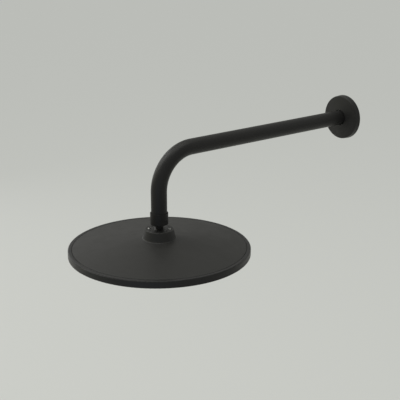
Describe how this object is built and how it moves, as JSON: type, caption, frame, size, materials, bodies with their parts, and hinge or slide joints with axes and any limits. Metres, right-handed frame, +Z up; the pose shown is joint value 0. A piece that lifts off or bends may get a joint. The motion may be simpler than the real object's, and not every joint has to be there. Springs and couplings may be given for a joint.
{
  "type": "overhead shower head",
  "caption": "Wall-mounted overhead shower: a bent arm with a sliding wall flange carries a wide, thin round spray head that tilts and turns on a ball joint.",
  "frame": {"origin": "centre of the wall inlet thread, in the plane of the finished wall", "axes": "+Z up, +Y into the wall along the inlet; the arm runs out of the wall along -Y and the head hangs below its far end"},
  "size_m": [0.25, 0.491, 0.1773],
  "materials": {
    "black_metal": "satin black coat",
    "black_connector": "satin black coat",
    "black_cover": "fine matt grain",
    "black_plastic": "satin",
    "black_screw": "satin black",
    "rubber_black": "matt",
    "silicone_grey": "matt soft",
    "brass": "machined",
    "steel": "bright",
    "seat_plastic": "smooth",
    "limiter_plastic": "smooth",
    "inner_plastic": "smooth"
  },
  "bodies": {
    "arm": {"shower_arm": "black_metal", "inlet_nipple": "brass", "outlet_nipple": "brass", "ball_connector": "black_connector", "sealing_washer": "rubber_black", "filter_disc": "steel", "flow_limiter": "limiter_plastic", "limiter_ring": "rubber_black"},
    "flange": {"wall_flange": "black_metal", "flange_o_ring": "rubber_black"},
    "lower_seat": {"lower_ball_seat": "seat_plastic"},
    "upper_seat": {"upper_ball_seat": "seat_plastic"},
    "head": {"retaining_ring": "black_plastic", "retaining_screws": "black_screw", "ball_seal": "rubber_black", "top_cover": "black_cover", "face_plate": "black_plastic", "nozzle_mat": "silicone_grey", "chamber_plate": "inner_plastic", "chamber_o_ring": "rubber_black", "chamber_screws": "steel"}
  },
  "joints": [
    {"name": "flange_slide", "type": "slide", "parent": "arm", "child": "flange", "axis": [0, -1, 0], "range_m": [0, 0.28]},
    {"name": "head_tilt_side", "type": "hinge", "parent": "arm", "child": "lower_seat", "pos_m": [0, -0.354, -0.1134], "axis": [0, 1, 0], "range_deg": [-12, 12]},
    {"name": "head_tilt_front", "type": "hinge", "parent": "lower_seat", "child": "upper_seat", "pos_m": [0, -0.354, -0.1134], "axis": [1, 0, 0], "range_deg": [-12, 12]},
    {"name": "head_turn", "type": "hinge", "parent": "upper_seat", "child": "head", "pos_m": [0, -0.354, -0.1134], "axis": [0, 0, 1], "continuous": true}
  ]
}
